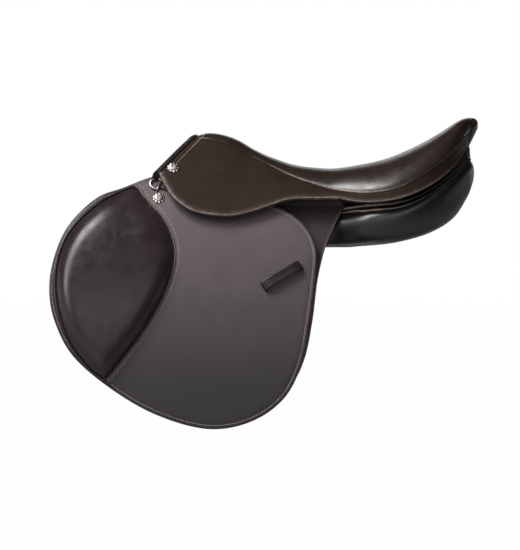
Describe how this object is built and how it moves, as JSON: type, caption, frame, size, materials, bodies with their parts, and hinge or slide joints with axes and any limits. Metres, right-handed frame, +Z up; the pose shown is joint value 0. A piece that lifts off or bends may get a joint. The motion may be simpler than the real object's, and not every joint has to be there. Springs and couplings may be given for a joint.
{
  "type": "jumping saddle",
  "caption": "Leather jumping saddle with a deep seat, forward flaps with raised knee pads, stuffed panels, stirrup bars, girth straps and front dees.",
  "frame": {"origin": "in the middle plane, at the height of the panels' bearing line, below the lowest part of the seat", "axes": "+X to the rear (cantle), +Y to the off (right) side, +Z up"},
  "size_m": [0.6256, 0.4798, 0.4546],
  "materials": {
    "seat_leather": "smooth, waxed",
    "flap_leather": "printed grain, satin",
    "pad_leather": "soft, glossy",
    "strap_leather": "waxed bridle leather",
    "fittings": "nickel plated",
    "tree_steel": "black lacquer",
    "beech": "sealed",
    "webbing": "woven",
    "foam": "open cell"
  },
  "bodies": {
    "saddle_body": {"tree_frame": "beech", "tree_head": "beech", "gullet_plate": "tree_steel", "head_rivets": "fittings", "tree_spring_near": "tree_steel", "tree_spring_off": "tree_steel", "seat_web": "webbing", "girth_web_near": "webbing", "girth_web_off": "webbing", "stirrup_bar_near": "fittings", "stirrup_bar_off": "fittings", "catch_pins": "fittings", "bar_rivets": "fittings", "seat_foam": "foam", "seat_cover": "seat_leather", "pommel_facing": "seat_leather", "cantle_cap": "seat_leather", "seat_welt_near": "seat_leather", "seat_welt_off": "seat_leather", "panel_near": "pad_leather", "panel_off": "pad_leather", "panel_welt_near": "pad_leather", "panel_welt_off": "pad_leather", "channel_lining": "webbing", "flap_top_near": "flap_leather", "flap_top_off": "flap_leather", "head_nails": "fittings", "flap_nails": "fittings", "dee_chape_near": "strap_leather", "dee_chape_off": "strap_leather", "sweat_flap_near": "flap_leather", "sweat_flap_off": "flap_leather", "point_pocket_near": "flap_leather", "point_pocket_off": "flap_leather"},
    "near_flap": {"flap_near": "flap_leather", "knee_pad_near": "pad_leather", "leather_keeper_near": "pad_leather"},
    "near_skirt": {"skirt_near": "seat_leather"},
    "near_billet_1": {"billet_near_1": "strap_leather"},
    "near_billet_2": {"billet_near_2": "strap_leather"},
    "near_billet_3": {"billet_near_3": "strap_leather"},
    "near_guard": {"girth_guard_near": "strap_leather"},
    "near_catch": {"bar_catch_near": "fittings"},
    "near_dee": {"dee_near": "fittings"},
    "off_flap": {"flap_off": "flap_leather", "knee_pad_off": "pad_leather", "leather_keeper_off": "pad_leather"},
    "off_skirt": {"skirt_off": "seat_leather"},
    "off_billet_1": {"billet_off_1": "strap_leather"},
    "off_billet_2": {"billet_off_2": "strap_leather"},
    "off_billet_3": {"billet_off_3": "strap_leather"},
    "off_guard": {"girth_guard_off": "strap_leather"},
    "off_catch": {"bar_catch_off": "fittings"},
    "off_dee": {"dee_off": "fittings"}
  },
  "joints": [
    {"name": "near_flap_lift", "type": "hinge", "parent": "saddle_body", "child": "near_flap", "pos_m": [-0.161, -0.13893, 0.02199], "axis": [-0.9283, 0.1848, 0.3226], "range_deg": [0, 85]},
    {"name": "near_skirt_lift", "type": "hinge", "parent": "saddle_body", "child": "near_skirt", "pos_m": [-0.126, -0.11372, 0.08917], "axis": [-0.9894, 0.0823, 0.1197], "range_deg": [0, 80]},
    {"name": "near_billet_1_swing", "type": "hinge", "parent": "saddle_body", "child": "near_billet_1", "pos_m": [-0.167, -0.12167, 0.02837], "axis": [0, -0.8592, 0.5116], "range_deg": [-4, 4]},
    {"name": "near_billet_2_swing", "type": "hinge", "parent": "saddle_body", "child": "near_billet_2", "pos_m": [-0.122, -0.12167, 0.02837], "axis": [0, -0.8592, 0.5116], "range_deg": [-4, 4]},
    {"name": "near_billet_3_swing", "type": "hinge", "parent": "saddle_body", "child": "near_billet_3", "pos_m": [-0.077, -0.12167, 0.02837], "axis": [0, -0.8592, 0.5116], "range_deg": [-4, 4]},
    {"name": "near_guard_slide", "type": "hinge", "parent": "near_billet_2", "child": "near_guard", "pos_m": [-0.122, 0.59924, -0.40083], "axis": [1, 0, 0], "range_deg": [-1.2, 3.4]},
    {"name": "near_catch_turn", "type": "hinge", "parent": "saddle_body", "child": "near_catch", "pos_m": [-0.143, -0.10283, 0.0896], "axis": [0, -0.8198, 0.5727], "range_deg": [0, 45]},
    {"name": "near_dee_swing", "type": "hinge", "parent": "saddle_body", "child": "near_dee", "pos_m": [-0.251, -0.09856, 0.08821], "axis": [0.3746, 0.5321, 0.7593], "range_deg": [0, 45]},
    {"name": "off_flap_lift", "type": "hinge", "parent": "saddle_body", "child": "off_flap", "pos_m": [-0.161, 0.13893, 0.02199], "axis": [0.9283, 0.1848, -0.3226], "range_deg": [0, 85]},
    {"name": "off_skirt_lift", "type": "hinge", "parent": "saddle_body", "child": "off_skirt", "pos_m": [-0.126, 0.11372, 0.08917], "axis": [0.9894, 0.0823, -0.1197], "range_deg": [0, 80]},
    {"name": "off_billet_1_swing", "type": "hinge", "parent": "saddle_body", "child": "off_billet_1", "pos_m": [-0.167, 0.12167, 0.02837], "axis": [0, 0.8592, 0.5116], "range_deg": [-4, 4]},
    {"name": "off_billet_2_swing", "type": "hinge", "parent": "saddle_body", "child": "off_billet_2", "pos_m": [-0.122, 0.12167, 0.02837], "axis": [0, 0.8592, 0.5116], "range_deg": [-4, 4]},
    {"name": "off_billet_3_swing", "type": "hinge", "parent": "saddle_body", "child": "off_billet_3", "pos_m": [-0.077, 0.12167, 0.02837], "axis": [0, 0.8592, 0.5116], "range_deg": [-4, 4]},
    {"name": "off_guard_slide", "type": "hinge", "parent": "off_billet_2", "child": "off_guard", "pos_m": [-0.122, -0.59924, -0.40083], "axis": [-1, 0, 0], "range_deg": [-1.2, 3.4]},
    {"name": "off_catch_turn", "type": "hinge", "parent": "saddle_body", "child": "off_catch", "pos_m": [-0.143, 0.10283, 0.0896], "axis": [0, -0.8198, -0.5727], "range_deg": [0, 45]},
    {"name": "off_dee_swing", "type": "hinge", "parent": "saddle_body", "child": "off_dee", "pos_m": [-0.251, 0.09856, 0.08821], "axis": [-0.3746, 0.5321, -0.7593], "range_deg": [0, 45]}
  ],
  "couplings": [
    {"joint": "near_billet_1_swing", "follows": "near_billet_2_swing", "ratio": 1},
    {"joint": "near_billet_3_swing", "follows": "near_billet_2_swing", "ratio": 1},
    {"joint": "off_billet_1_swing", "follows": "off_billet_2_swing", "ratio": 1},
    {"joint": "off_billet_3_swing", "follows": "off_billet_2_swing", "ratio": 1}
  ]
}
